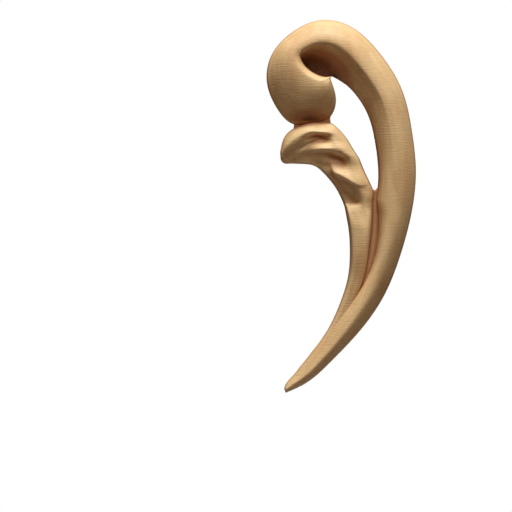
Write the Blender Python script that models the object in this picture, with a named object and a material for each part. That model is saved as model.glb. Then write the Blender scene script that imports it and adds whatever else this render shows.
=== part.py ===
"""Carved wooden corner onlay, one piece of wood.

A tapering arm rises from a pointed tail, bows out and rolls over into a round ball with a deep
eye beside it. A fluted leaf springs from the tail on the inner side and touches the ball.

Metres, +Z up. The onlay stands as it does on a panel: the flat back lies in the plane y = 0, the
carved face looks along -Y and the origin is on the back, halfway up, where stem and arm are one.
The carving is drawn in millimetres: x to the right, z up, and the height of the relief above
the back as the third number.
"""

import bmesh
import bpy
import numpy as np

NAME = "corner_onlay"
MM = 0.001

# Upright edge all round the carving, and the waste behind each form that is planed off
EDGE_HEIGHT = 2.0
SCROLL_WASTE = 2.0
LEAF_WASTE = 1.6
GROOVE_WASTE = 1.2
NECK_WASTE = 0.8

# Outer edge from the tip of the tail, up the arm, over the top and round the ball
OUTER_EDGE = (
    (-50.0, -100.5), (-39.5, -95.5), (-25.5, -83.5), (-10.0, -67.0), (3.0, -48.0),
    (11.5, -27.0), (17.5, -4.5), (20.0, 19.0), (18.0, 39.5), (12.5, 62.5),
    (-0.5, 83.5), (-16.0, 97.0), (-31.0, 100.0), (-46.5, 93.5), (-58.0, 80.5),
    (-60.3, 68.0), (-55.0, 53.0), (-46.0, 44.1), (-36.0, 44.3), (-26.6, 47.5),
    (-23.0, 56.5), (-24.3, 63.8), (-26.2, 68.6),
)

# Distances along the outer edge at which the eye begins and where its sharp corner is
EYE_START = 218.0
EYE_CORNER = 273.0

# Sizes of the arm by the distance along its outer edge: its width, the place and height of the
# crest, and the height of its inner side
ARM_WIDTH = (
    (0, 2.2), (1, 3.6), (3, 5.1), (8, 7.1), (16, 9.4), (32, 11.6), (44, 12.8), (60, 13.2),
    (72, 13.0), (84, 12.8), (92, 13.0), (104, 14.6), (116, 17.2), (127, 20.0), (144, 20.2),
    (168, 20.6), (192, 22.7), (208, 24.3), (218, 26.6),
)
CREST_OFFSET = (
    (0, 1.1), (1, 1.9), (8, 3.4), (32, 5.2), (64, 7.4), (96, 8.2), (112, 9.2), (128, 11.0),
    (144, 12.0), (184, 12.5), (204, 13.4), (224, 13.7), (244, 13.6), (264, 12.3), (273, 11.8),
)
CREST_HEIGHT = (
    (0, 3.9), (1, 4.5), (8, 5.7), (24, 7.4), (56, 9.6), (104, 12.0), (184, 13.6), (244, 14.3),
    (273, 14.1),
)
FOOT_HEIGHT = (
    (0, 3.0), (32, 3.2), (46, 5.0), (60, 5.8), (78, 5.6), (92, 4.2), (106, 3.8), (160, 4.0), (218, 4.0),
)

# Shape of the arm's section along the same distances: 1 is a straight outer side and 2 a round one,
# the inner side is the steeper at its foot the fuller it is, and it is hollowed out where its hollow is 1
OUTER_ROUND = (
    (0, 1.8), (12, 1.6), (60, 1.7), (130, 2.1), (273, 2.2), (305, 1.65), (345, 1.65),
    (375, 2.8),
)
INNER_FULL = (
    (0, 1.9), (60, 2.2), (88, 2.8), (110, 3.0), (130, 2.8), (170, 2.4), (273, 2.2), (290, 4.2), (350, 4.2),
    (375, 2.0),
)
INNER_HOLLOW = (
    (0, 0.5), (55, 0.4), (80, 0.1), (96, 0.0), (130, 0.0), (160, 0.15), (190, 0.4), (222, 0.85),
    (273, 1.0),
)

# Roll above the upright edge: how high it reaches along the same distances, higher where the ball
# stands over the lip, how high on the inner side of the arm, and its width
EDGE_ROLL = ((0, 1.6), (316, 1.6), (327, 2.3), (342, 2.3), (354, 1.6), (375, 1.6))
INNER_ROLL = 1.6
ROLL_REACH = 0.9

# Rim of the ball and floor of the eye, both from the sharp corner to the window
RIM = (
    (-43.2, 82.2, 14.1), (-44.7, 78.2, 14.6), (-43.9, 73.9, 15.2), (-41.4, 70.1, 15.4),
    (-37.5, 67.4, 15.2), (-33.1, 65.8, 14.7), (-29.3, 66.3, 13.7), (-26.1, 68.5, 11.2),
)
EYE_FLOOR = (
    (-42.2, 80.9, 12.6), (-41.3, 77.8, 7.2), (-39.2, 74.9, 4.2), (-36.3, 72.5, 3.3),
    (-32.6, 70.5, 3.2), (-28.6, 69.4, 3.6), (-24.9, 69.7, 4.0),
)

# Swell of the ball, reach of the evening out beside the corner of the eye, and how softly the crest
# turns over from the shoulder on
BALL_SWELL = 0.6
SWELL_START = 236.0
CORNER_REACH = 24.0
CORNER_BLEND = 9.0
CREST_SOFTNESS = 1.1
SOFT_START = 185.0
SOFT_REACH = 60.0

# Leaf: sections from the lip down into the tail, each by six points: left side, flank, tip of the
# flute, its middle, rib and right side. Crests and hollows of the flutes take turns.
LEAF_SECTIONS = (
    ((-53.0, 29.1, 3.2), (-51.2, 36.1, 3.6), (-46.6, 41.2, 4.0),
     (-38.5, 44.5, 4.6), (-31.5, 45.1, 5.0), (-25.0, 44.4, 4.6)),
    ((-52.9, 26.7, 4.0), (-48.8, 32.0, 7.8), (-43.3, 36.5, 9.6),
     (-36.3, 39.6, 10.2), (-28.8, 39.4, 10.0), (-22.1, 42.0, 6.8)),
    ((-52.2, 24.1, 3.6), (-45.0, 29.6, 6.5), (-39.6, 34.2, 7.8),
     (-33.1, 37.2, 5.8), (-25.0, 37.4, 9.4), (-19.1, 38.8, 6.8)),
    ((-50.6, 22.9, 3.4), (-40.1, 30.4, 6.8), (-36.2, 33.6, 6.5),
     (-31.0, 35.8, 5.5), (-24.0, 35.3, 9.8), (-16.8, 35.8, 7.0)),
    ((-47.7, 22.8, 3.4), (-38.2, 28.4, 5.9), (-35.0, 30.0, 7.9),
     (-28.8, 30.4, 11.0), (-21.8, 30.4, 11.4), (-14.5, 32.0, 7.0)),
    ((-43.9, 22.7, 3.4), (-36.3, 26.9, 5.2), (-32.8, 28.1, 6.0),
     (-26.9, 28.1, 7.0), (-19.4, 28.0, 10.6), (-12.7, 29.1, 7.0)),
    ((-39.0, 22.5, 3.6), (-31.0, 24.2, 5.0), (-26.4, 25.0, 5.5),
     (-22.1, 24.8, 5.8), (-15.6, 24.8, 9.0), (-10.5, 25.6, 7.0)),
    ((-34.2, 21.4, 4.0), (-27.5, 21.8, 5.0), (-24.9, 22.1, 6.2),
     (-20.7, 22.9, 6.2), (-14.5, 21.8, 8.6), (-8.7, 21.3, 6.8)),
    ((-30.2, 18.3, 4.0), (-25.8, 18.0, 5.8), (-23.6, 17.2, 9.2),
     (-18.0, 14.8, 11.0), (-11.6, 11.7, 10.6), (-5.0, 13.2, 7.0)),
    ((-27.8, 15.8, 4.0), (-24.0, 15.3, 5.2), (-21.5, 14.0, 6.6),
     (-16.8, 12.1, 7.8), (-10.8, 9.2, 9.6), (-3.9, 10.8, 6.8)),
    ((-22.9, 9.4, 4.0), (-20.5, 8.9, 4.8), (-18.6, 8.3, 5.4),
     (-15.3, 7.3, 6.3), (-8.9, 5.9, 9.0), (-2.6, 7.0, 5.6)),
    ((-19.1, 1.6, 4.0), (-17.0, 1.5, 4.2), (-15.1, 1.5, 4.3),
     (-12.9, 1.6, 4.8), (-8.1, 1.9, 8.4), (-2.7, 2.7, 5.0)),
    ((-18.4, -0.4, 5.0), (-17.0, -0.5, 6.4), (-15.1, -0.5, 6.8),
     (-12.4, -0.5, 7.2), (-7.8, -0.7, 8.2), (-2.8, -0.3, 4.6)),
    ((-17.7, -3.8, 6.6), (-16.3, -3.9, 7.9), (-14.4, -4.0, 8.1),
     (-11.3, -4.3, 8.5), (-6.7, -4.5, 8.4), (-2.9, -4.3, 4.2)),
    ((-16.4, -11.0, 7.2), (-14.9, -11.4, 8.7), (-12.4, -11.9, 9.6),
     (-9.0, -12.3, 9.8), (-5.9, -12.5, 8.9), (-3.4, -12.6, 4.2)),
    ((-15.5, -23.7, 7.0), (-14.1, -23.7, 8.5), (-11.8, -23.7, 9.5),
     (-9.0, -23.7, 9.4), (-6.5, -23.9, 8.2), (-4.7, -24.0, 4.4)),
    ((-16.6, -38.5, 5.6), (-15.6, -38.8, 6.7), (-13.9, -39.4, 7.5),
     (-11.7, -40.2, 7.4), (-9.6, -40.9, 6.4), (-8.1, -41.5, 4.8)),
    ((-20.7, -52.0, 4.4), (-19.8, -52.4, 5.6), (-18.4, -53.1, 6.3),
     (-16.7, -54.0, 6.3), (-15.2, -54.9, 5.9), (-14.0, -55.5, 5.2)),
    ((-26.4, -64.6, 3.5), (-25.8, -65.1, 4.7), (-24.7, -65.9, 5.4),
     (-23.3, -67.0, 5.8), (-22.0, -68.0, 5.8), (-21.0, -68.7, 5.3)),
    ((-35.0, -77.7, 3.1), (-34.5, -78.2, 3.4), (-33.7, -78.9, 4.0),
     (-32.6, -79.8, 4.6), (-31.7, -80.7, 5.0), (-31.0, -81.3, 5.0)),
)
SIDE_ROUND = 1.5

# Low ground where two forms meet: its height, its reach under both, its ends along arm and stem
# and how far it sags between them
GROOVE_GROUND = 3.8
NECK_GROUND = 1.6
GROUND_LAP = 1.2
GROOVE_ENDS = (66.0, 136.0)
STEM_ENDS = (41.0, 106.0)
CROTCH_SAG = 2.2

# Steps of the sections
TIP_STATIONS = (0, 0.4, 1, 2, 3.4)
ARM_STEPS = 70
EYE_STEPS = 30
OUTER_COLUMNS = 10
INNER_COLUMNS = 8
LEAF_PITCH = 1.5
LEAF_COLUMNS = 20
CREASE_ANGLE = np.radians(36)


def bent(knots, values, wanted):
    """Natural cubic spline through the values at the knots, read at the wanted places."""
    gaps = np.diff(knots)
    slopes = np.diff(values, axis=0) / gaps[:, None]
    count = len(knots)
    system = np.eye(count)
    right = np.zeros_like(values)
    for i in range(1, count - 1):
        system[i, i - 1:i + 2] = gaps[i - 1], 2 * (gaps[i - 1] + gaps[i]), gaps[i]
        right[i] = 6 * (slopes[i] - slopes[i - 1])
    bends = np.linalg.solve(system, right)
    span = np.clip(np.searchsorted(knots, wanted, side="right") - 1, 0, count - 2)
    after = ((wanted - knots[span]) / gaps[span])[:, None]
    before = 1 - after
    pull = gaps[span, None] ** 2 / 6
    straight = before * values[span] + after * values[span + 1]
    curved = (before ** 3 - before) * bends[span] + (after ** 3 - after) * bends[span + 1]
    return straight + pull * curved


def eased(knots, values, wanted):
    """Smooth curve through the values that turns only at the knots."""
    knots = np.asarray(knots, float)
    values = np.asarray(values, float)
    gaps = np.diff(knots)
    slopes = np.diff(values) / gaps
    turn = np.zeros_like(values)
    same = slopes[:-1] * slopes[1:] > 0
    mean = 2 * slopes[:-1] * slopes[1:] / np.where(same, slopes[:-1] + slopes[1:], 1)
    turn[1:-1] = np.where(same, mean, 0)
    turn[0], turn[-1] = slopes[0], slopes[-1]
    span = np.clip(np.searchsorted(knots, wanted, side="right") - 1, 0, len(knots) - 2)
    t = np.clip((wanted - knots[span]) / gaps[span], 0, 1)
    ease = t * t * (3 - 2 * t)
    start = t * (1 - t) ** 2 * gaps[span] * turn[span]
    end = t * t * (1 - t) * gaps[span] * turn[span + 1]
    return values[span] * (1 - ease) + values[span + 1] * ease + start - end


def sized(pairs, wanted):
    """Read a size that is given as (distance, size) pairs."""
    distances, sizes = zip(*pairs)
    return eased(distances, sizes, wanted)


def chords(points):
    """Distance from the first point to each of the points."""
    steps = np.linalg.norm(np.diff(points[:, :2], axis=0), axis=1)
    return np.concatenate(([0.0], np.cumsum(steps)))


class Line:
    """Smooth line through design points, read by the distance along it."""

    def __init__(self, points):
        points = np.array(points, float)
        knots = chords(points)
        self.fine = bent(knots, points, np.linspace(0, knots[-1], 2000))
        self.distances = chords(self.fine)
        self.length = self.distances[-1]

    def at(self, distances):
        columns = [np.interp(distances, self.distances, column) for column in self.fine.T]
        return np.stack(columns, axis=-1)

    def shares(self, count):
        return self.at(np.linspace(0, self.length, count))

    def inward(self, distances):
        ahead = self.at(distances + 0.5) - self.at(distances - 0.5)
        ahead /= np.linalg.norm(ahead, axis=1)[:, None]
        return np.column_stack((-ahead[:, 1], ahead[:, 0]))


def beside(line, distances, offsets):
    """Places beside the line at the distances, each its own offset inward."""
    return line.at(distances) + line.inward(distances) * np.asarray(offsets)[:, None]


def rounding(share):
    """Quarter-round rise from 0 at an edge to 1 where the share reaches 1."""
    return 1 - (1 - np.clip(share, 0, 1)) ** 2.2


def scroll_rows():
    """Sections of the arm and the ball, each from the outer edge over the crest to the inside."""
    edge = Line(OUTER_EDGE)
    arm = np.concatenate((TIP_STATIONS, np.linspace(5, EYE_START, ARM_STEPS, endpoint=False)))
    eye = np.linspace(EYE_START, EYE_CORNER, EYE_STEPS + 1)
    ball = np.linspace(EYE_CORNER, edge.length, EYE_STEPS + 1)[1:]
    ahead = np.concatenate((arm, eye[:-1]))
    stations = np.concatenate((arm, eye, ball))

    outer = edge.at(stations)
    floor = Line(EYE_FLOOR).shares(EYE_STEPS + 1)
    crest = beside(edge, ahead, sized(CREST_OFFSET, ahead))
    crest = np.column_stack((crest, sized(CREST_HEIGHT, ahead)))
    crest = np.vstack((crest, Line(RIM).shares(EYE_STEPS + 1)))
    foot = beside(edge, arm, sized(ARM_WIDTH, arm))
    foot = np.column_stack((foot, sized(FOOT_HEIGHT, arm)))
    foot = np.vstack((foot, floor[::-1], floor[1:]))

    roundness = sized(OUTER_ROUND, stations)
    edge_roll = sized(EDGE_ROLL, stations)
    full = sized(INNER_FULL, stations)
    hollow = sized(INNER_HOLLOW, stations)
    hollow[len(arm) + len(eye):] = 0.0
    fading = np.clip((edge.length - stations) / 25, 0, 1)
    swell = BALL_SWELL * rounding((stations - SWELL_START) / 90) * fading

    t = 1 - np.cos(np.linspace(0, np.pi / 2, OUTER_COLUMNS))[:, None]
    down = np.sin(np.linspace(0, np.pi / 2, INNER_COLUMNS))[1:, None]
    rows = []
    for i in range(len(stations)):
        rise = 1 - (1 - t) ** roundness[i]
        inward = crest[i, :2] - outer[i]
        roll = edge_roll[i] * rounding(t * np.linalg.norm(inward) / ROLL_REACH)
        top = EDGE_HEIGHT + roll + (crest[i, 2] - EDGE_HEIGHT - edge_roll[i]) * rise
        outside = np.hstack((outer[i] + t * inward, top + swell[i] * np.sin(np.pi * t)))
        drop = (1 - hollow[i]) * (1 - down ** full[i]) + hollow[i] * (1 - down) ** 1.9
        inward = foot[i, :2] - crest[i, :2]
        top = foot[i, 2] + (crest[i, 2] - foot[i, 2]) * drop
        if i < len(arm):
            top -= INNER_ROLL * (1 - rounding((1 - down) * np.linalg.norm(inward) / ROLL_REACH))
        inside = np.hstack((crest[i, :2] + down * inward, top))
        rows.append(np.vstack((outside, inside)))
    for station, row in zip(stations, rows):
        soft = np.clip((station - SOFT_START) / SOFT_REACH, 0, 1)
        row[:, 2] += soft * (softened(row) - row[:, 2])
    return evened(np.array(rows), stations, t[:, 0])


def softened(row):
    """Heights of a section with its crest rounded over, while its ends keep theirs."""
    walked = chords(row)
    apart = walked[:, None] - walked[None, :]
    weights = np.exp(-0.5 * (apart / CREST_SOFTNESS) ** 2) * np.gradient(walked)[None, :]
    blended = weights @ row[:, 2] / weights.sum(axis=1)
    inner = np.clip(np.minimum(walked, walked[-1] - walked) / CREST_SOFTNESS / 2, 0, 1)
    return inner * blended + (1 - inner) * row[:, 2]


def evened(rows, stations, t):
    """Rows evened out on their outer side near the corner of the eye, where only the crest turns sharply."""
    near = np.clip(1.5 - np.abs(stations - EYE_CORNER) / CORNER_REACH, 0, 1)[:, None]
    apart = stations[:, None] - stations[None, :]
    smooth = rows.copy()
    for k, share in enumerate(t[1:-1], 1):
        reach = CORNER_BLEND * share * (1 - share) ** 0.35
        weights = np.exp(-0.5 * (apart / reach) ** 2) * np.gradient(stations)[None, :]
        blended = (weights / weights.sum(axis=1, keepdims=True)) @ rows[:, k]
        smooth[:, k] = near * blended + (1 - near) * rows[:, k]
    return list(smooth)


def leaf_rows():
    """Sections of the leaf from its left side to its right, from the lip down into the tail."""
    sections = np.array(LEAF_SECTIONS)
    knots = chords(sections[:, 3])
    spans = []
    for near, far in zip(knots, knots[1:]):
        steps = max(2, round((far - near) / LEAF_PITCH))
        spans.append(np.linspace(near, far, steps, endpoint=False))
    along = np.append(np.concatenate(spans), knots[-1])
    places = []
    for k in range(6):
        walked = chords(sections[:, k])
        places.append(bent(walked, sections[:, k, :2], np.interp(along, knots, walked)))
    heights = [eased(knots, sections[:, k, 2], along) for k in range(6)]
    across = (1 - np.cos(np.linspace(0, np.pi, LEAF_COLUMNS))) / 2
    shares = np.linspace(0, 1, 6)

    rows = []
    for i, distance in enumerate(along):
        place = bent(shares, np.array([line[i] for line in places]), across)
        walked = chords(place)
        sides = rounding(np.minimum(walked, walked[-1] - walked) / SIDE_ROUND)
        relief = eased(shares, [line[i] for line in heights], across) - EDGE_HEIGHT
        height = EDGE_HEIGHT + relief * sides * rounding(distance / SIDE_ROUND)
        rows.append(np.column_stack((place, height)))
    return rows


def relief_solid(name, rows, waste):
    """Closed solid from a relief given row by row: carved face, upright sides and a flat back."""
    form = bmesh.new()
    grid = []
    for row in rows:
        grid.append([form.verts.new((x * MM, -height * MM, z * MM)) for x, z, height in row])
    for near, far in zip(grid, grid[1:]):
        for k in range(len(near) - 1):
            form.faces.new((near[k], near[k + 1], far[k + 1], far[k]))
    bmesh.ops.remove_doubles(form, verts=form.verts, dist=0.01 * MM)
    border = [edge for edge in form.edges if edge.is_boundary]
    sides = bmesh.ops.extrude_edge_only(form, edges=border)["geom"]
    for vert in (item for item in sides if isinstance(item, bmesh.types.BMVert)):
        vert.co.y = waste * MM
    rim = [item for item in sides if isinstance(item, bmesh.types.BMEdge) and item.is_boundary]
    bmesh.ops.contextual_create(form, geom=rim)
    bmesh.ops.recalc_face_normals(form, faces=form.faces)
    mesh = bpy.data.meshes.new(name)
    form.to_mesh(mesh)
    form.free()
    return bpy.data.objects.new(name, mesh)


def plate(name, outline, thickness, waste):
    """Flat ground of the carving: a closed outline with its thickness in front of the back."""
    curve = bpy.data.curves.new(name, "CURVE")
    curve.dimensions = "2D"
    curve.fill_mode = "BOTH"
    curve.extrude = (thickness + waste) / 2 * MM
    spline = curve.splines.new("POLY")
    spline.points.add(len(outline) - 1)
    for point, (x, z) in zip(spline.points, outline):
        point.co = (x * MM, z * MM, 0, 1)
    spline.use_cyclic_u = True
    flat = bpy.data.objects.new(name, curve)
    flat.rotation_euler.x = np.pi / 2
    flat.location.y = (waste - thickness) / 2 * MM
    return as_mesh(flat)


def as_mesh(curve_object):
    """Mesh object with welded caps in place of a curve object."""
    bpy.context.scene.collection.objects.link(curve_object)
    bpy.context.view_layer.update()
    seen = curve_object.evaluated_get(bpy.context.evaluated_depsgraph_get())
    mesh = bpy.data.meshes.new_from_object(seen)
    form = bmesh.new()
    form.from_mesh(mesh)
    bmesh.ops.remove_doubles(form, verts=form.verts, dist=0.01 * MM)
    bmesh.ops.recalc_face_normals(form, faces=form.faces)
    form.to_mesh(mesh)
    form.free()
    solid = bpy.data.objects.new(curve_object.name, mesh)
    solid.matrix_world = curve_object.matrix_world
    bpy.data.objects.remove(curve_object)
    return solid


def groove_ground():
    """Ground between the stem of the leaf and the arm, reaching a little way under both."""
    distances = np.linspace(*GROOVE_ENDS, 16)
    edge = Line(OUTER_EDGE)
    under_arm = beside(edge, distances, sized(ARM_WIDTH, distances) - GROUND_LAP)
    stem = Line([section[-1][:2] for section in LEAF_SECTIONS])
    under_stem = stem.at(np.linspace(*STEM_ENDS, 16)) - (GROUND_LAP, 0)
    crotch = (under_arm[-1] + under_stem[0]) / 2 - (0, CROTCH_SAG)
    return plate("groove_ground", [*under_arm, crotch, *under_stem], GROOVE_GROUND, GROOVE_WASTE)


def neck_ground():
    """Ground under the meeting of the ball and the lip."""
    outline = ((-45.9, 45.6), (-45.6, 43.4), (-45.9, 41.2), (-36.0, 41.0), (-25.4, 43.2),
               (-25.9, 45.4), (-26.1, 47.0), (-25.6, 49.0), (-36.0, 50.0))
    return plate("neck_ground", outline, NECK_GROUND, NECK_WASTE)


def back_plane():
    """Block that planes the back flat."""
    mesh = bpy.data.meshes.new("back_plane")
    form = bmesh.new()
    bmesh.ops.create_cube(form, size=1.0)
    bmesh.ops.scale(form, vec=(0.12, 0.02, 0.24), verts=form.verts)
    form.to_mesh(mesh)
    form.free()
    block = bpy.data.objects.new("back_plane", mesh)
    block.location = (-0.02, 0.01, 0)
    return block


def beech():
    """Bare beech, matt."""
    wood = bpy.data.materials.new("beech")
    wood.use_nodes = True
    surface = wood.node_tree.nodes["Principled BSDF"]
    surface.inputs["Base Color"].default_value = (0.52, 0.33, 0.17, 1)
    surface.inputs["Roughness"].default_value = 0.6
    surface.inputs["Metallic"].default_value = 0
    return wood


def collection(name):
    group = bpy.data.collections.new(name)
    bpy.context.scene.collection.children.link(group)
    return group


def boolean(target, operation, tool):
    change = target.modifiers.new(f"{operation.lower()} {tool.name}", "BOOLEAN")
    change.operation = operation
    change.object = tool
    change.solver = "EXACT"


def main():
    for old in list(bpy.data.objects):
        bpy.data.objects.remove(old)
    parts = collection("corner onlay")
    tools = collection("joined forms and cutters")

    wood = beech()
    onlay = relief_solid(NAME, scroll_rows(), SCROLL_WASTE)
    leaf = relief_solid("leaf", leaf_rows(), LEAF_WASTE)
    forms = (leaf, groove_ground(), neck_ground())
    plane = back_plane()
    parts.objects.link(onlay)
    for tool in (*forms, plane):
        tools.objects.link(tool)
        tool.hide_render = True
        tool.display_type = "WIRE"
    for piece in (onlay, *forms, plane):
        piece.data.materials.append(wood)
        piece.data.shade_smooth()
        piece.data.set_sharp_from_angle(angle=CREASE_ANGLE)
    for form in forms:
        boolean(onlay, "UNION", form)
    boolean(onlay, "DIFFERENCE", plane)


main()
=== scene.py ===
# %% [markdown]
# # A carved corner onlay
#
# An onlay is a carved ornament with a flat back that is glued or pinned to a door, a drawer front
# or the corner of a frame. This one is a single piece of beech. An arm rises from a pointed tail,
# bows out, and rolls over into a round ball with a deep eye beside it, and a fluted leaf springs
# from the inner side of the tail. This lesson rebuilds its carved face finely enough to stand
# close to, gives it the marks of the cutter, and finishes it as bare wood.
#
# The plain solid of the onlay comes first. It gives the frame that everything here is fitted to:
# metres, the flat back in the plane y = 0, the carved face looking along -Y.

import bmesh
import bpy
import numpy as np
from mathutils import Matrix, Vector
from mathutils.kdtree import KDTree


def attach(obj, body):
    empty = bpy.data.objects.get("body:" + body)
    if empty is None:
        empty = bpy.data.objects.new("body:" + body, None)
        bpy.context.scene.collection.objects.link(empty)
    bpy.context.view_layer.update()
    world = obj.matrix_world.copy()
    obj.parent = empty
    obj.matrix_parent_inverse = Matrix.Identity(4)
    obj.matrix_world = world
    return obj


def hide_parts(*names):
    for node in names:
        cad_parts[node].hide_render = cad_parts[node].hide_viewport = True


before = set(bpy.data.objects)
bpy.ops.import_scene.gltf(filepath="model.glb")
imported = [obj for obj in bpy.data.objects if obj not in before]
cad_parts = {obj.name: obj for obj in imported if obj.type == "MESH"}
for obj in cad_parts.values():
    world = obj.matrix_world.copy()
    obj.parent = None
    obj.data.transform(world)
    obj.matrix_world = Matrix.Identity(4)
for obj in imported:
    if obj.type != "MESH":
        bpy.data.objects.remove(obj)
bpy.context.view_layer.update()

MM = 0.001
CAD_NODE = "corner_onlay"

# %% [markdown]
# # Camera, stage and lights
#
# The picture was taken straight on, from so far away that nothing leans. A long lens a metre and a
# half away does the same. The frame is 276 mm wide where the onlay is, and its centre is to the
# left of the onlay and a little below the onlay's middle.
#
# The onlay is shown hanging in front of plain white, so the world is white where the camera looks
# at it directly and a warm, weak fill everywhere else. One large soft lamp above and in front
# models the carving: it makes what faces up bright and leaves what faces down in shade. Part of its
# light comes from a twin a little to the left that casts no shadow, so the ball doesn't darken the
# leaf below it. Another lamp lights the back, and a pale floor lies well below.

# %% Camera
FRAME_WIDTH = 275.7 * MM
FRAME_CENTRE = Vector((-66.0 * MM, 0, -26.9 * MM))
LENS = 200
SENSOR = 36


def in_scene(name, data):
    """New object with the data, in the scene."""
    thing = bpy.data.objects.new(name, data)
    bpy.context.scene.collection.objects.link(thing)
    return thing


def camera():
    lens = bpy.data.cameras.new("camera")
    lens.lens = LENS
    lens.sensor_width = SENSOR
    stand = in_scene("camera", lens)
    stand.location = FRAME_CENTRE + Vector((0, -FRAME_WIDTH * LENS / SENSOR, 0))
    stand.rotation_euler = (np.pi / 2, 0, 0)
    bpy.context.scene.camera = stand
    return stand


print("the camera stands", round(-camera().location.y, 2), "m in front")

# %% Lamps
KEY_FROM = Vector((0.075, -0.35, 0.93)).normalized()
SOFT_FROM = Vector((-0.07, -0.35, 0.93)).normalized()
BACK_FROM = Vector((0, 1, 0))
LAMP_DISTANCE = 2.2
KEY_SIZE = 1.3
BACK_SIZE = 0.4
KEY_POWER = 102
SHADOWLESS = 0.42
BACK_POWER = 30
KEY_COLOUR = (0.86, 0.94, 1.0)


def lamp(name, direction, size, power, shadow=True):
    """Large round soft lamp that looks at the onlay from the direction."""
    light = bpy.data.lights.new(name, "AREA")
    light.shape = "DISK"
    light.size = size
    light.energy = power
    light.color = KEY_COLOUR
    light.use_shadow = shadow
    stand = in_scene(name, light)
    stand.location = direction * LAMP_DISTANCE
    stand.rotation_euler = direction.to_track_quat("Z", "Y").to_euler()


lamp("key", KEY_FROM, KEY_SIZE, KEY_POWER * (1 - SHADOWLESS))
lamp("soft_key", SOFT_FROM, KEY_SIZE, KEY_POWER * SHADOWLESS, shadow=False)
lamp("back", BACK_FROM, BACK_SIZE, BACK_POWER)
print("lamps:", [light.name for light in bpy.data.lights])

# %% Surroundings
FILL_COLOUR = (1.0, 0.70, 0.50)
FILL_STRENGTH = 0.125


def wired(tree, kind, links=(), **settings):
    """New node with its settings made, its plain inputs filled and its linked inputs joined."""
    node = tree.nodes.new(kind)
    for name, value in settings.items():
        setattr(node, name, value)
    for socket, value in dict(links).items():
        if isinstance(value, bpy.types.NodeSocket):
            tree.links.new(value, node.inputs[socket])
        else:
            node.inputs[socket].default_value = value
    return node.outputs


def surroundings():
    """White for the camera, and a weak warm light for all else."""
    world = bpy.data.worlds.new("surroundings")
    world.use_nodes = True
    tree = world.node_tree
    fill = tree.nodes["Background"]
    fill.inputs["Color"].default_value = (*FILL_COLOUR, 1)
    fill.inputs["Strength"].default_value = FILL_STRENGTH
    seen = wired(tree, "ShaderNodeBackground", {"Color": (1, 1, 1, 1)})[0]
    camera_ray = wired(tree, "ShaderNodeLightPath")["Is Camera Ray"]
    choice = {"Fac": camera_ray, 1: fill.outputs[0], 2: seen}
    mix = wired(tree, "ShaderNodeMixShader", choice)[0]
    tree.links.new(mix, tree.nodes["World Output"].inputs["Surface"])
    bpy.context.scene.world = world
    bpy.context.scene.view_settings.view_transform = "Standard"


surroundings()
print("the fill is", FILL_STRENGTH, "as strong as the white")

# %% Floor
FLOOR_DEPTH = 1.6
FLOOR_RADIUS = 1.2
FLOOR_COLOUR = (0.86, 0.85, 0.83)
FLOOR_ROUGHNESS = 0.9


def blank(name):
    material = bpy.data.materials.new(name)
    material.use_nodes = True
    return material


def placed_solid(name, form):
    """Object with the form's mesh, in the scene."""
    mesh = bpy.data.meshes.new(name)
    form.to_mesh(mesh)
    form.free()
    return in_scene(name, mesh)


def floor():
    form = bmesh.new()
    bmesh.ops.create_circle(form, cap_ends=True, segments=64, radius=FLOOR_RADIUS)
    bmesh.ops.translate(form, vec=(0, 0, -FLOOR_DEPTH), verts=form.verts)
    ground = placed_solid("floor", form)
    pale = blank("pale_floor")
    surface = pale.node_tree.nodes["Principled BSDF"]
    surface.inputs["Base Color"].default_value = (*FLOOR_COLOUR, 1)
    surface.inputs["Roughness"].default_value = FLOOR_ROUGHNESS
    ground.data.materials.append(pale)


floor()
print("the floor lies", FLOOR_DEPTH, "m below")

# %% [markdown]
# # Lines to carve along
#
# A carver draws the outline first and then judges every width and depth from it. The helpers here
# do the same. `bent` runs a smooth spline through design points. `eased` reads a size between
# given sizes without ever overshooting them, which keeps a flat flat. A `Line` can be read by the
# distance along it, and `beside` steps inward from it. `rounding` is the quarter-round that every
# edge of the carving ends in.

# %% Splines and sizes
def bent(knots, values, wanted):
    """Natural cubic spline through the values at the knots, read at the wanted places."""
    gaps = np.diff(knots)
    slopes = np.diff(values, axis=0) / gaps[:, None]
    count = len(knots)
    system = np.eye(count)
    right = np.zeros_like(values)
    for i in range(1, count - 1):
        system[i, i - 1:i + 2] = gaps[i - 1], 2 * (gaps[i - 1] + gaps[i]), gaps[i]
        right[i] = 6 * (slopes[i] - slopes[i - 1])
    bends = np.linalg.solve(system, right)
    span = np.clip(np.searchsorted(knots, wanted, side="right") - 1, 0, count - 2)
    after = ((wanted - knots[span]) / gaps[span])[:, None]
    before = 1 - after
    pull = gaps[span, None] ** 2 / 6
    straight = before * values[span] + after * values[span + 1]
    curved = (before ** 3 - before) * bends[span] + (after ** 3 - after) * bends[span + 1]
    return straight + pull * curved


def eased(knots, values, wanted):
    """Smooth curve through the values that turns only at the knots."""
    knots = np.asarray(knots, float)
    values = np.asarray(values, float)
    gaps = np.diff(knots)
    slopes = np.diff(values) / gaps
    turn = np.zeros_like(values)
    same = slopes[:-1] * slopes[1:] > 0
    mean = 2 * slopes[:-1] * slopes[1:] / np.where(same, slopes[:-1] + slopes[1:], 1)
    turn[1:-1] = np.where(same, mean, 0)
    turn[0], turn[-1] = slopes[0], slopes[-1]
    span = np.clip(np.searchsorted(knots, wanted, side="right") - 1, 0, len(knots) - 2)
    t = np.clip((wanted - knots[span]) / gaps[span], 0, 1)
    ease = t * t * (3 - 2 * t)
    start = t * (1 - t) ** 2 * gaps[span] * turn[span]
    end = t * t * (1 - t) * gaps[span] * turn[span + 1]
    return values[span] * (1 - ease) + values[span + 1] * ease + start - end


def sized(pairs, wanted):
    """Read a size that is given as (distance, size) pairs."""
    distances, sizes = zip(*pairs)
    return eased(distances, sizes, wanted)


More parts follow.
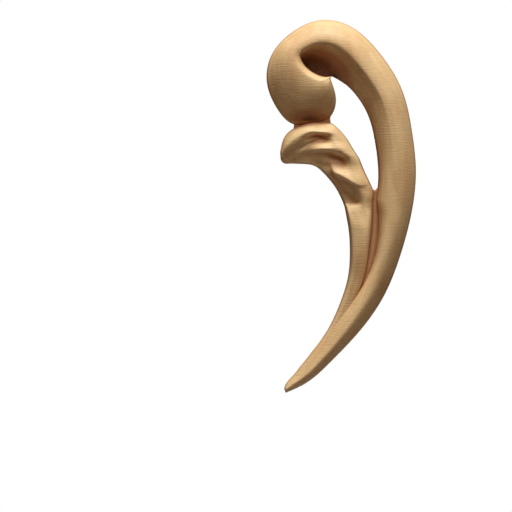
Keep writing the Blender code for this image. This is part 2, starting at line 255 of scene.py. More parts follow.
print("halfway between 2 and 4 mm a size is", float(sized(((0, 2), (10, 4)), 5.0)), "mm")

# %% Lines
LINE_STEPS = 2000
HEADING_STEP = 0.5
ROUNDING_POWER = 2.2


def chords(points):
    """Distance from the first point to each of the points."""
    steps = np.linalg.norm(np.diff(points[:, :2], axis=0), axis=1)
    return np.concatenate(([0.0], np.cumsum(steps)))


class Line:
    """Smooth line through design points, read by the distance along it."""

    def __init__(self, points):
        points = np.array(points, float)
        knots = chords(points)
        self.fine = bent(knots, points, np.linspace(0, knots[-1], LINE_STEPS))
        self.distances = chords(self.fine)
        self.length = self.distances[-1]

    def at(self, distances):
        columns = [np.interp(distances, self.distances, column) for column in self.fine.T]
        return np.stack(columns, axis=-1)

    def shares(self, count):
        return self.at(np.linspace(0, self.length, count))

    def inward(self, distances):
        ahead = self.at(distances + HEADING_STEP) - self.at(distances - HEADING_STEP)
        ahead /= np.linalg.norm(ahead, axis=1)[:, None]
        return np.column_stack((-ahead[:, 1], ahead[:, 0]))


def beside(line, distances, offsets):
    """Places beside the line at the distances, each its own offset inward."""
    return line.at(distances) + line.inward(distances) * np.asarray(offsets)[:, None]


def rounding(share):
    """Quarter-round rise from 0 at an edge to 1 where the share reaches 1."""
    return 1 - (1 - np.clip(share, 0, 1)) ** ROUNDING_POWER


print("halfway in, a rounded edge has risen by", round(float(rounding(0.5)), 2), "of its height")

# %% [markdown]
# # The scroll: arm, eye and ball
#
# All of the scroll is one sheet of sections. Each begins at the outer edge, rises over a crest and
# falls to the inside. Up the arm the inside is the arm's inner edge. Past the eye's start the two
# sides of the eye share its floor, so the sheet folds into a valley there and the hollow needs no
# cutting. All places are in millimetres, x to the right and z up, with the height of the relief
# above the back as the third number. They are the sizes that the solid was built from.

# %% Sizes of the scroll
EDGE_HEIGHT = 2.0
OUTER_EDGE = (
    (-50.0, -100.5), (-39.5, -95.5), (-25.5, -83.5), (-10.0, -67.0), (3.0, -48.0),
    (11.5, -27.0), (17.5, -4.5), (20.0, 19.0), (18.0, 39.5), (12.5, 62.5),
    (-0.5, 83.5), (-16.0, 97.0), (-31.0, 100.0), (-46.5, 93.5), (-58.0, 80.5),
    (-60.3, 68.0), (-55.0, 53.0), (-46.0, 44.1), (-36.0, 44.3), (-26.6, 47.5),
    (-23.0, 56.5), (-24.3, 63.8), (-26.2, 68.6),
)
EYE_START = 218.0
EYE_CORNER = 273.0
ARM_WIDTH = (
    (0, 2.2), (1, 3.6), (3, 5.1), (8, 7.1), (16, 9.4), (32, 11.6), (44, 12.8), (60, 13.2),
    (72, 13.0), (84, 12.8), (92, 13.0), (104, 14.6), (116, 17.2), (127, 20.0), (144, 20.2),
    (168, 20.6), (192, 22.7), (208, 24.3), (218, 26.6),
)
CREST_OFFSET = (
    (0, 1.1), (1, 1.9), (8, 3.4), (32, 5.2), (64, 7.4), (96, 8.2), (112, 9.2), (128, 11.0),
    (144, 12.0), (184, 12.5), (204, 13.4), (224, 13.7), (244, 13.6), (264, 12.3), (273, 11.8),
)
CREST_HEIGHT = (
    (0, 3.9), (1, 4.5), (8, 5.7), (24, 7.4), (56, 9.6), (104, 12.0), (184, 13.6), (244, 14.3),
    (273, 14.1),
)
FOOT_HEIGHT = (
    (0, 3.0), (32, 3.2), (46, 5.0), (60, 5.8), (78, 5.6), (92, 4.2), (106, 3.8), (160, 4.0),
    (218, 4.0),
)
OUTER_ROUND = (
    (0, 1.8), (12, 1.6), (60, 1.7), (130, 2.1), (273, 2.2), (305, 1.65), (345, 1.65), (375, 2.8),
)
INNER_FULL = (
    (0, 1.9), (60, 2.2), (88, 2.8), (110, 3.0), (130, 2.8), (170, 2.4), (273, 2.2), (290, 4.2),
    (350, 4.2), (375, 2.0),
)
INNER_HOLLOW = (
    (0, 0.5), (55, 0.4), (80, 0.1), (96, 0.0), (130, 0.0), (160, 0.15), (190, 0.4), (222, 0.85),
    (273, 1.0),
)

# How high the outer and the inner edge roll over, and within what distance
EDGE_ROLL = ((0, 1.6), (316, 1.6), (327, 2.3), (342, 2.3), (354, 1.6), (375, 1.6))
INNER_ROLL = 1.6
ROLL_REACH = 0.9

# The rim of the ball over the eye, and the floor of the eye from its corner to the window
RIM = (
    (-43.2, 82.2, 14.1), (-44.7, 78.2, 14.6), (-43.9, 73.9, 15.2), (-41.4, 70.1, 15.4),
    (-37.5, 67.4, 15.2), (-33.1, 65.8, 14.7), (-29.3, 66.3, 13.7), (-26.1, 68.5, 11.2),
)
EYE_FLOOR = (
    (-42.2, 80.9, 12.6), (-41.3, 77.8, 7.2), (-39.2, 74.9, 4.2), (-36.3, 72.5, 3.3),
    (-32.6, 70.5, 3.2), (-28.6, 69.4, 3.6), (-24.9, 69.7, 4.0),
)

# Swell of the ball between its edge and its crest, and where it comes in and fades out
BALL_SWELL = 0.6
SWELL_START = 236.0
SWELL_REACH = 90.0
SWELL_FADE = 25.0

# How the arm's inner side falls where it is hollow, and how softly the crest turns over from the
# shoulder on
HOLLOW_FALL = 1.9
CREST_SOFTNESS = 1.1
SOFT_START = 185.0
SOFT_REACH = 60.0

# The stretch beside the corner of the eye that is evened out, and how widely
CORNER_REACH = 24.0
CORNER_BLEND = 9.0
BLEND_FALL = 0.35

print("the outer edge is", round(Line(OUTER_EDGE).length), "mm long")

# %% Softer crests
def softened(row):
    """Heights of a section with its crest rounded over, while its ends keep theirs."""
    walked = chords(row)
    apart = walked[:, None] - walked[None, :]
    weights = np.exp(-0.5 * (apart / CREST_SOFTNESS) ** 2) * np.gradient(walked)[None, :]
    blended = weights @ row[:, 2] / weights.sum(axis=1)
    inner = np.clip(np.minimum(walked, walked[-1] - walked) / CREST_SOFTNESS / 2, 0, 1)
    return inner * blended + (1 - inner) * row[:, 2]


def evened(rows, stations, t):
    """Rows whose outer side is evened out near the corner of the eye, so only the crest turns."""
    near = np.clip(1.5 - np.abs(stations - EYE_CORNER) / CORNER_REACH, 0, 1)[:, None]
    apart = stations[:, None] - stations[None, :]
    smooth = rows.copy()
    for k, share in enumerate(t[1:-1], 1):
        reach = CORNER_BLEND * share * (1 - share) ** BLEND_FALL
        weights = np.exp(-0.5 * (apart / reach) ** 2) * np.gradient(stations)[None, :]
        blended = (weights / weights.sum(axis=1, keepdims=True)) @ rows[:, k]
        smooth[:, k] = near * blended + (1 - near) * rows[:, k]
    return list(smooth)


# %% Sections of the scroll
TIP_STATIONS = (0, 0.15, 0.3, 0.5, 0.8, 1.1, 1.5, 2, 2.6, 3.3, 4.1)
ARM_STEPS = 640
EYE_STEPS = 190
OUTER_COLUMNS = 28
INNER_COLUMNS = 24


def scroll_rows():
    """Sections of the arm and the ball, each from the outer edge over the crest to the inside."""
    edge = Line(OUTER_EDGE)
    arm = np.concatenate((TIP_STATIONS, np.linspace(5, EYE_START, ARM_STEPS, endpoint=False)))
    eye = np.linspace(EYE_START, EYE_CORNER, EYE_STEPS + 1)
    ball = np.linspace(EYE_CORNER, edge.length, EYE_STEPS + 1)[1:]
    ahead = np.concatenate((arm, eye[:-1]))
    stations = np.concatenate((arm, eye, ball))

    outer = edge.at(stations)
    floor = Line(EYE_FLOOR).shares(EYE_STEPS + 1)
    crest = beside(edge, ahead, sized(CREST_OFFSET, ahead))
    crest = np.column_stack((crest, sized(CREST_HEIGHT, ahead)))
    crest = np.vstack((crest, Line(RIM).shares(EYE_STEPS + 1)))
    foot = beside(edge, arm, sized(ARM_WIDTH, arm))
    foot = np.column_stack((foot, sized(FOOT_HEIGHT, arm)))
    foot = np.vstack((foot, floor[::-1], floor[1:]))

    roundness = sized(OUTER_ROUND, stations)
    edge_roll = sized(EDGE_ROLL, stations)
    full = sized(INNER_FULL, stations)
    hollow = sized(INNER_HOLLOW, stations)
    hollow[len(arm) + len(eye):] = 0.0
    fading = np.clip((edge.length - stations) / SWELL_FADE, 0, 1)
    swell = BALL_SWELL * rounding((stations - SWELL_START) / SWELL_REACH) * fading

    t = 1 - np.cos(np.linspace(0, np.pi / 2, OUTER_COLUMNS))[:, None]
    down = np.sin(np.linspace(0, np.pi / 2, INNER_COLUMNS))[1:, None]
    rows = []
    for i in range(len(stations)):
        rise = 1 - (1 - t) ** roundness[i]
        inward = crest[i, :2] - outer[i]
        roll = edge_roll[i] * rounding(t * np.linalg.norm(inward) / ROLL_REACH)
        top = EDGE_HEIGHT + roll + (crest[i, 2] - EDGE_HEIGHT - edge_roll[i]) * rise
        outside = np.hstack((outer[i] + t * inward, top + swell[i] * np.sin(np.pi * t)))
        drop = (1 - hollow[i]) * (1 - down ** full[i]) + hollow[i] * (1 - down) ** HOLLOW_FALL
        inward = foot[i, :2] - crest[i, :2]
        top = foot[i, 2] + (crest[i, 2] - foot[i, 2]) * drop
        if i < len(arm):
            top -= INNER_ROLL * (1 - rounding((1 - down) * np.linalg.norm(inward) / ROLL_REACH))
        inside = np.hstack((crest[i, :2] + down * inward, top))
        rows.append(np.vstack((outside, inside)))
    for station, row in zip(stations, rows):
        soft = np.clip((station - SOFT_START) / SOFT_REACH, 0, 1)
        row[:, 2] += soft * (softened(row) - row[:, 2])
    return evened(np.array(rows), stations, t[:, 0])


scroll = scroll_rows()
print("scroll:", len(scroll), "sections of", len(scroll[0]), "points")

# %% [markdown]
# # The leaf
#
# The leaf is a run of sections too, from its lip at the ball down into the tail. Each section is
# given by six points from its left side to its right, and its line is bent through them. Crests and
# hollows take turns down the leaf. The heights are eased from point to point and from one section
# to the next, so each flute keeps a clear edge.

# %% Sizes of the leaf
LEAF_SECTIONS = (
    ((-53.0, 29.1, 3.2), (-51.2, 36.1, 3.6), (-46.6, 41.2, 4.0),
     (-38.5, 44.5, 4.6), (-31.5, 45.1, 5.0), (-25.0, 44.4, 4.6)),
    ((-52.9, 26.7, 4.0), (-48.8, 32.0, 7.8), (-43.3, 36.5, 9.6),
     (-36.3, 39.6, 10.2), (-28.8, 39.4, 10.0), (-22.1, 42.0, 6.8)),
    ((-52.2, 24.1, 3.6), (-45.0, 29.6, 6.5), (-39.6, 34.2, 7.8),
     (-33.1, 37.2, 5.8), (-25.0, 37.4, 9.4), (-19.1, 38.8, 6.8)),
    ((-50.6, 22.9, 3.4), (-40.1, 30.4, 6.8), (-36.2, 33.6, 6.5),
     (-31.0, 35.8, 5.5), (-24.0, 35.3, 9.8), (-16.8, 35.8, 7.0)),
    ((-47.7, 22.8, 3.4), (-38.2, 28.4, 5.9), (-35.0, 30.0, 7.9),
     (-28.8, 30.4, 11.0), (-21.8, 30.4, 11.4), (-14.5, 32.0, 7.0)),
    ((-43.9, 22.7, 3.4), (-36.3, 26.9, 5.2), (-32.8, 28.1, 6.0),
     (-26.9, 28.1, 7.0), (-19.4, 28.0, 10.6), (-12.7, 29.1, 7.0)),
    ((-39.0, 22.5, 3.6), (-31.0, 24.2, 5.0), (-26.4, 25.0, 5.5),
     (-22.1, 24.8, 5.8), (-15.6, 24.8, 9.0), (-10.5, 25.6, 7.0)),
    ((-34.2, 21.4, 4.0), (-27.5, 21.8, 5.0), (-24.9, 22.1, 6.2),
     (-20.7, 22.9, 6.2), (-14.5, 21.8, 8.6), (-8.7, 21.3, 6.8)),
    ((-30.2, 18.3, 4.0), (-25.8, 18.0, 5.8), (-23.6, 17.2, 9.2),
     (-18.0, 14.8, 11.0), (-11.6, 11.7, 10.6), (-5.0, 13.2, 7.0)),
    ((-27.8, 15.8, 4.0), (-24.0, 15.3, 5.2), (-21.5, 14.0, 6.6),
     (-16.8, 12.1, 7.8), (-10.8, 9.2, 9.6), (-3.9, 10.8, 6.8)),
    ((-22.9, 9.4, 4.0), (-20.5, 8.9, 4.8), (-18.6, 8.3, 5.4),
     (-15.3, 7.3, 6.3), (-8.9, 5.9, 9.0), (-2.6, 7.0, 5.6)),
    ((-19.1, 1.6, 4.0), (-17.0, 1.5, 4.2), (-15.1, 1.5, 4.3),
     (-12.9, 1.6, 4.8), (-8.1, 1.9, 8.4), (-2.7, 2.7, 5.0)),
    ((-18.4, -0.4, 5.0), (-17.0, -0.5, 6.4), (-15.1, -0.5, 6.8),
     (-12.4, -0.5, 7.2), (-7.8, -0.7, 8.2), (-2.8, -0.3, 4.6)),
    ((-17.7, -3.8, 6.6), (-16.3, -3.9, 7.9), (-14.4, -4.0, 8.1),
     (-11.3, -4.3, 8.5), (-6.7, -4.5, 8.4), (-2.9, -4.3, 4.2)),
    ((-16.4, -11.0, 7.2), (-14.9, -11.4, 8.7), (-12.4, -11.9, 9.6),
     (-9.0, -12.3, 9.8), (-5.9, -12.5, 8.9), (-3.4, -12.6, 4.2)),
    ((-15.5, -23.7, 7.0), (-14.1, -23.7, 8.5), (-11.8, -23.7, 9.5),
     (-9.0, -23.7, 9.4), (-6.5, -23.9, 8.2), (-4.7, -24.0, 4.4)),
    ((-16.6, -38.5, 5.6), (-15.6, -38.8, 6.7), (-13.9, -39.4, 7.5),
     (-11.7, -40.2, 7.4), (-9.6, -40.9, 6.4), (-8.1, -41.5, 4.8)),
    ((-20.7, -52.0, 4.4), (-19.8, -52.4, 5.6), (-18.4, -53.1, 6.3),
     (-16.7, -54.0, 6.3), (-15.2, -54.9, 5.9), (-14.0, -55.5, 5.2)),
    ((-26.4, -64.6, 3.5), (-25.8, -65.1, 4.7), (-24.7, -65.9, 5.4),
     (-23.3, -67.0, 5.8), (-22.0, -68.0, 5.8), (-21.0, -68.7, 5.3)),
    ((-35.0, -77.7, 3.1), (-34.5, -78.2, 3.4), (-33.7, -78.9, 4.0),
     (-32.6, -79.8, 4.6), (-31.7, -80.7, 5.0), (-31.0, -81.3, 5.0)),
)
LEAF_POINTS = len(LEAF_SECTIONS[0])
SIDE_ROUND = 1.5
print("the leaf is given by", len(LEAF_SECTIONS), "sections of", LEAF_POINTS, "points")

# %% Sections of the leaf
LEAF_PITCH = 0.4
LEAF_KNOT_POINT = 3
LEAF_COLUMNS = 56


def leaf_rows():
    """Sections of the leaf from its left side to its right, from the lip down into the tail."""
    sections = np.array(LEAF_SECTIONS)
    knots = chords(sections[:, LEAF_KNOT_POINT])
    spans = []
    for near, far in zip(knots, knots[1:]):
        steps = max(2, round((far - near) / LEAF_PITCH))
        spans.append(np.linspace(near, far, steps, endpoint=False))
    along = np.append(np.concatenate(spans), knots[-1])
    places = []
    for k in range(LEAF_POINTS):
        walked = chords(sections[:, k])
        places.append(bent(walked, sections[:, k, :2], np.interp(along, knots, walked)))
    heights = [eased(knots, sections[:, k, 2], along) for k in range(LEAF_POINTS)]
    across = (1 - np.cos(np.linspace(0, np.pi, LEAF_COLUMNS))) / 2
    shares = np.linspace(0, 1, LEAF_POINTS)

    rows = []
    for i, distance in enumerate(along):
        place = bent(shares, np.array([line[i] for line in places]), across)
        walked = chords(place)
        sides = rounding(np.minimum(walked, walked[-1] - walked) / SIDE_ROUND)
        relief = eased(shares, [line[i] for line in heights], across) - EDGE_HEIGHT
        height = EDGE_HEIGHT + relief * sides * rounding(distance / SIDE_ROUND)
        rows.append(np.column_stack((place, height)))
    return rows


leaf = leaf_rows()
print("leaf:", len(leaf), "sections of", len(leaf[0]), "points")

# %% [markdown]
# # From sections to one piece of wood
#
# Each run of sections becomes a closed solid: the carved face, an upright edge all round and a
# flat back. Two thin grounds fill the low places where the forms meet. Each solid has some waste
# behind the back plane, and no two have the same, so no faces lie in each other. Then everything is
# joined and the back is planed flat, just as the maker would saw it.

# %% Solids
SCROLL_WASTE = 2.0
LEAF_WASTE = 1.6
GROOVE_WASTE = 1.2
NECK_WASTE = 0.8
SAME_PLACE = 0.002


def relief_solid(name, rows, waste):
    """Closed solid from a relief given row by row: carved face, upright sides and a flat back."""
    form = bmesh.new()
    grid = []
    for row in rows:
        grid.append([form.verts.new((x * MM, -height * MM, z * MM)) for x, z, height in row])
    for near, far in zip(grid, grid[1:]):
        for k in range(len(near) - 1):
            form.faces.new((near[k], near[k + 1], far[k + 1], far[k]))
    bmesh.ops.remove_doubles(form, verts=form.verts, dist=SAME_PLACE * MM)
    border = [edge for edge in form.edges if edge.is_boundary]
    sides = bmesh.ops.extrude_edge_only(form, edges=border)["geom"]
    for vert in (item for item in sides if isinstance(item, bmesh.types.BMVert)):
        vert.co.y = waste * MM
    rim = [item for item in sides if isinstance(item, bmesh.types.BMEdge) and item.is_boundary]
    bmesh.ops.contextual_create(form, geom=rim)
    bmesh.ops.recalc_face_normals(form, faces=form.faces)
    return placed_solid(name, form)


def plate(name, outline, thickness, waste):
    """Low ground of the carving, from its outline."""
    form = bmesh.new()
    front = [form.verts.new((x * MM, -thickness * MM, z * MM)) for x, z in outline]
    back = [form.verts.new((x * MM, waste * MM, z * MM)) for x, z in outline]
    form.faces.new(front)
    form.faces.new(back[::-1])
    for k in range(len(front)):
        form.faces.new((front[k - 1], front[k], back[k], back[k - 1]))
    bmesh.ops.recalc_face_normals(form, faces=form.faces)
    return placed_solid(name, form)


print("waste behind the back:", (SCROLL_WASTE, LEAF_WASTE, GROOVE_WASTE, NECK_WASTE), "mm")

# %% Grounds
PLANE_SIZE = (0.12, 0.02, 0.24)
PLANE_CENTRE = -0.02
GROOVE_GROUND = 3.8
NECK_GROUND = 1.6
GROUND_LAP = 1.2
GROOVE_ENDS = (66.0, 136.0)
STEM_ENDS = (41.0, 106.0)
CROTCH_SAG = 2.2
SAG_REACH = 6.0
GROOVE_RIDGE = 1.6
GROOVE_STEPS = 160
GROOVE_COLUMNS = 14
NECK_OUTLINE = (
    (-45.9, 45.6), (-45.6, 43.4), (-45.9, 41.2), (-36.0, 41.0), (-25.4, 43.2),
    (-25.9, 45.4), (-26.1, 47.0), (-25.6, 49.0), (-36.0, 50.0),
)


def groove_rows():
    """Ground between the arm and the stem, with a low ridge along it, reaching under both."""
    distances = np.linspace(*GROOVE_ENDS, GROOVE_STEPS)
    under_arm = beside(Line(OUTER_EDGE), distances, sized(ARM_WIDTH, distances) - GROUND_LAP)
    stem = Line([section[-1][:2] for section in LEAF_SECTIONS])
    under_stem = stem.at(np.linspace(*STEM_ENDS, GROOVE_STEPS)) - (GROUND_LAP, 0)
    across = np.linspace(0, 1, GROOVE_COLUMNS)[:, None]
    middle = 1 - np.abs(2 * across - 1)
    rows = []
    for distance, near, far in zip(distances, under_arm, under_stem[::-1]):
        sag = CROTCH_SAG * np.clip(1 - (GROOVE_ENDS[1] - distance) / SAG_REACH, 0, 1)
        place = near + across * (far - near) - middle * (0, sag)
        rows.append(np.hstack((place, GROOVE_GROUND - GROOVE_RIDGE * (1 - middle))))
    return rows


def back_plane():
    """Block behind the onlay that planes its back flat."""
    form = bmesh.new()
    bmesh.ops.create_cube(form, size=1.0)
    bmesh.ops.scale(form, vec=PLANE_SIZE, verts=form.verts)
    bmesh.ops.translate(form, vec=(PLANE_CENTRE, PLANE_SIZE[1] / 2, 0), verts=form.verts)
    return placed_solid("back_plane", form)


groove = groove_rows()
print("groove ground:", len(groove), "sections of", len(groove[0]), "points")

# %% Joining
def worked_in(piece):
    """Plain mesh of the piece with its modifiers worked in."""
    bpy.context.view_layer.update()
    seen = piece.evaluated_get(bpy.context.evaluated_depsgraph_get())
    return bpy.data.meshes.new_from_object(seen)


def joined(name, base, unions, cuts):
    """One plain piece: the base with the unions added and the cuts taken away."""
    for operation, tools in (("UNION", unions), ("DIFFERENCE", cuts)):
        for tool in tools:
            change = base.modifiers.new(f"{operation} {tool.name}", "BOOLEAN")
            change.operation = operation
            change.object = tool
            change.solver = "EXACT"
    mesh = worked_in(base)
    mesh.name = name
    for used in (base, *unions, *cuts):
        bpy.data.objects.remove(used)
    return in_scene(name, mesh)


onlay = joined(
    "carved_onlay",
    relief_solid("scroll", scroll, SCROLL_WASTE),
    (
        relief_solid("leaf", leaf, LEAF_WASTE),
        relief_solid("groove_ground", groove, GROOVE_WASTE),
        plate("neck_ground", NECK_OUTLINE, NECK_GROUND, NECK_WASTE),
    ),
    (back_plane(),),
)
print("joined:", len(onlay.data.vertices), "vertices,", len(onlay.data.polygons), "faces")

# %% [markdown]
# # Soft corners where the forms meet
#
# Where two forms run into each other a Boolean leaves a knife-sharp corner, and no gouge can cut
# one. Every point of the joined mesh that none of the sections had is such a corner. The ridge of
# the tail is worn soft too. These points and their neighbours get a weight, and a Smooth modifier
# that moves depth alone rounds them off. The outline and the upright edges have no weight, so they
# keep their line.

# %% Weights along the seams
SEAM_REACH = 1.7
SEAM_FULL = 1.5
EDGE_CLEARANCE = 0.3
FRONT_CLEARANCE = 0.05
TAIL_TOP = -28.0


def tree_of(points):
    tree = KDTree(len(points))
    for i, point in enumerate(points):
        tree.insert(point, i)
    tree.balance()
    return tree


def places_of(mesh):
    places = np.empty(len(mesh.vertices) * 3)
    mesh.vertices.foreach_get("co", places)
    return places.reshape(-1, 3)


def tail_ridge(rows):
    """The highest point of each section of the tail."""
    tops = [row[np.argmax(row[:, 2])] for row in rows]
    return [np.array((x, -height, z)) * MM for x, z, height in tops if z < TAIL_TOP]


def seam_weights(places, runs):
    """One at a seam and at the tail's ridge, falling to zero at the reach of the seam."""
    known = np.concatenate([np.concatenate(run) for run in runs])
    known = tree_of(np.column_stack((known[:, 0], -known[:, 2], known[:, 1])) * MM)
    heights = -places[:, 1] / MM
    front = places[heights > EDGE_HEIGHT + FRONT_CLEARANCE]
    corners = [place for place in front if known.find(place)[2] > SAME_PLACE * MM]
    corners = tree_of(corners + tail_ridge(runs[0]))
    apart = np.array([corners.find(place)[2] for place in places]) / MM
    clear = np.clip((heights - EDGE_HEIGHT) / EDGE_CLEARANCE, 0, 1)
    return np.clip(SEAM_FULL * (1 - apart / SEAM_REACH), 0, 1) * clear


weights = seam_weights(places_of(onlay.data), (scroll, leaf, groove))
print("points near a seam:", int((weights > 0).sum()))

# %% Softening the seams
SEAM_PASSES = 26
SMOOTH_SHARE = 0.5


def soften(piece, weights):
    group = piece.vertex_groups.new(name="seams")
    for i in np.flatnonzero(weights > 0):
        group.add([int(i)], weights[i], "REPLACE")
    smooth = piece.modifiers.new("soft corners", "SMOOTH")
    smooth.use_x = smooth.use_z = False
    smooth.factor = SMOOTH_SHARE
    smooth.iterations = SEAM_PASSES
    smooth.vertex_group = group.name


def settle(piece):
    """Gives the piece its worked mesh and clears what made it."""
    mesh = worked_in(piece)
    piece.modifiers.clear()
    piece.vertex_groups.clear()
    piece.data = mesh


soften(onlay, weights)
settle(onlay)
print("softened:", len(onlay.data.vertices), "vertices")

# %% [markdown]
# # Hollows and crests
#
# Bare wood is handled: its crests grow light and smooth. The hollows are darkened with painted
# shade, standing in for the light that reaches them less. The finish needs to know how deep each
# point lies beside its surroundings, so the face is read into a grid of heights. A round pad pressed
# on the grid bridges the eye, the groove and the folds, and what lies below it gets painted shade. A
# blurred grid finds the small corners in the same way, and the crests, which stand above it. The
# pad's painted shade is weaker in the lower part of the onlay, where the groove is, and the crevice
# between ball and leaf gets the darkest painted shade and shadow. The two results become attributes
# of the mesh that the material reads.

# %% Grid of heights
GRID_STEP = 0.5
GRID_MARGIN = 12.0
OPEN_HEIGHT = 2.0


def highest_near(grid, radius):
    """The greatest height within the radius of each point of a grid."""
    reach = int(radius / GRID_STEP)
    wide, tall = grid.shape
    padded = np.pad(grid, reach, mode="edge")
    highest = grid.copy()
    for i in range(-reach, reach + 1):
        for j in range(-reach, reach + 1):
            if i * i + j * j <= reach * reach:
                moved = padded[reach + i:reach + i + wide, reach + j:reach + j + tall]
                highest = np.maximum(highest, moved)
    return highest


class Relief:
    """Heights of the carved face on a square grid, in millimetres."""

    def __init__(self, piece, places):
        low = places.min(axis=0) / MM - GRID_MARGIN
        high = places.max(axis=0) / MM + GRID_MARGIN
        self.xs = np.arange(low[0], high[0], GRID_STEP)
        self.zs = np.arange(low[2], high[2], GRID_STEP)
        self.heights = np.full((len(self.xs), len(self.zs)), OPEN_HEIGHT)
        toward = Vector((0, 1, 0))
        for i, x in enumerate(self.xs):
            for j, z in enumerate(self.zs):
                hit, place, _, _ = piece.ray_cast(Vector((x * MM, -1, z * MM)), toward)
                if hit:
                    self.heights[i, j] = -place.y / MM

    def blurred(self, radius):
        reach = np.arange(-3 * radius, 3 * radius + GRID_STEP, GRID_STEP)
        bell = np.exp(-0.5 * (reach / radius) ** 2)
        bell /= bell.sum()
        wide = np.apply_along_axis(np.convolve, 0, self.heights, bell, mode="same")
        return np.apply_along_axis(np.convolve, 1, wide, bell, mode="same")

    def filled(self, radius):
        """The heights with each hollow that a round pad of this radius bridges filled to its rim."""
        return -highest_near(-highest_near(self.heights, radius), radius)

    def read(self, grid, places):
        """Values of a grid under the places, between its four nearest points."""
        across = (places[:, 0] / MM - self.xs[0]) / GRID_STEP
        up = (places[:, 2] / MM - self.zs[0]) / GRID_STEP
        i, j = across.astype(int), up.astype(int)
        s, t = across - i, up - j
        lower = grid[i, j] * (1 - s) + grid[i + 1, j] * s
        upper = grid[i, j + 1] * (1 - s) + grid[i + 1, j + 1] * s
        return lower * (1 - t) + upper * t


places = places_of(onlay.data)
relief = Relief(onlay, places)
print("grid of", relief.heights.shape, "heights, up to", round(relief.heights.max(), 1), "mm")

# %% Sizes of the painted shade and the wear
# The pad's radius, how far below it nothing is painted, how far below that the painted shade is
# darkest, and how dark it gets
PAD = 10.0
PAD_SLACK = 1.9
PAD_DEPTH = 6.6
PAD_SHADE = 0.95

# Radius, full depth and greatest painted shade of the small hollows
CORNERS = ((1.2, 1.4, 0.5), (2.6, 3.0, 0.25))

# The heights up the onlay between which the pad's painted shade fades, and how much of it fades
PAD_SHADE_FADE_FROM = 14.0
PAD_SHADE_FADE_TO = 2.0
PAD_SHADE_FADE_SHARE = 0.7

# The crevice between ball and leaf, which gets painted shade and shadow: its middle, its half size,
# the height up the onlay that it begins at, and the relief below which all of it is shaded
CREVICE = (-37.5, 46.0)
CREVICE_SIZE = (8.5, 5.0)
CREVICE_FOOT = 45.0
CREVICE_DEEP = 4.0
CREVICE_SHADE = 0.9

# How widely the crests are compared, how far they rise above that, and where the face begins
CREST = 1.6
CREST_RISE = 0.7
FACE_FROM = 1.0

print("hollows are measured within", PAD, "mm and", [radius for radius, _, _ in CORNERS], "mm")

# %% Hollow and crest attributes
# Painted shade: hollows and small corners are darkened in the colour where light reaches them less
def unshaded_share(relief, places):
    """One where no shade is painted, falling to zero where the painted shade is darkest."""
    across, up = places[:, 0] / MM, places[:, 2] / MM
    heights = -places[:, 1] / MM
    below = relief.read(relief.filled(PAD), places) - heights - PAD_SLACK
    pad_shade_fade = np.clip((PAD_SHADE_FADE_FROM - up) / (PAD_SHADE_FADE_FROM - PAD_SHADE_FADE_TO), 0, 1) * PAD_SHADE_FADE_SHARE
    unshaded = 1 - PAD_SHADE * np.clip(below / PAD_DEPTH, 0, 1) * (1 - pad_shade_fade)
    for radius, depth, corner_shade in CORNERS:
        below = relief.read(relief.blurred(radius), places) - heights
        unshaded *= 1 - corner_shade * np.clip(below / depth, 0, 1)
    # Painted shadow and shade in the crevice between ball and leaf
    aside = (across - CREVICE[0]) / CREVICE_SIZE[0]
    over = (up - CREVICE[1]) / CREVICE_SIZE[1]
    inside = np.maximum(np.clip(up - CREVICE_FOOT, 0, 1), np.clip(CREVICE_DEEP - heights, 0, 1))
    return unshaded * (1 - CREVICE_SHADE * np.exp(-aside ** 2 - over ** 2) * inside)


def attribute(mesh, name, values):
    layer = mesh.attributes.new(name, "FLOAT", "POINT")
    layer.data.foreach_set("value", np.asarray(values, np.float32))
    print(name, "from", round(float(values.min()), 2), "to", round(float(values.max()), 2))


heights = -places[:, 1] / MM
crest = (heights - relief.read(relief.blurred(CREST), places)) / CREST_RISE
on_face = np.clip(heights - FACE_FROM, 0, 1)
# The hollow attribute carries the painted shade of the hollows, the corners and the crevice
attribute(onlay.data, "hollow", (1 - unshaded_share(relief, places)) * on_face)
attribute(onlay.data, "crest", np.clip(crest, 0, 1) * on_face)

# %% [markdown]
# # Grain of the beech
#
# Two materials need the same wood: the carved face and the planed back. So the wood is a node group
# with named inputs, placed in both. Growth layers lie nearly flat in the board, and where the
# carving cuts through them on a slope they show as lines round the form, so they are worked out
# from the depth, gently waved. Fibres run up the board, along z. The short dark flecks are the rays
# that mark beech. The group gives out masks only, and each material chooses its own colours.

# %% Node helpers
def socket_on(group, name, direction, kind):
    return group.interface.new_socket(name, in_out=direction, socket_type=f"NodeSocket{kind}")


def group_of(name, sizes, masks):
    """New shader node group with number inputs, a place in millimetres and mask outputs."""
    group = bpy.data.node_groups.new(name, "ShaderNodeTree")
    socket_on(group, "Place", "INPUT", "Vector")
    for size, value in sizes.items():
        socket_on(group, size, "INPUT", "Float").default_value = value
    for mask in masks:
        socket_on(group, mask, "OUTPUT", "Float")
    given = group.nodes.new("NodeGroupInput").outputs
    return group, given, group.nodes.new("NodeGroupOutput").inputs


def outputs_of(group):
    return [item.name for item in group.interface.items_tree if item.in_out == "OUTPUT"]


def maths(tree, operation, first, second=0.0, third=0.0):
    return wired(tree, "ShaderNodeMath", {0: first, 1: second, 2: third}, operation=operation)[0]


def product(tree, first, second):
    return maths(tree, "MULTIPLY", first, second)


def axis_of(tree, vector, axis):
    return wired(tree, "ShaderNodeSeparateXYZ", {0: vector})[axis]


def scallops(tree, turns):
    """Round humps with sharp valleys between them, one for each turn."""
    return maths(tree, "ABSOLUTE", maths(tree, "SINE", product(tree, turns, np.pi)))


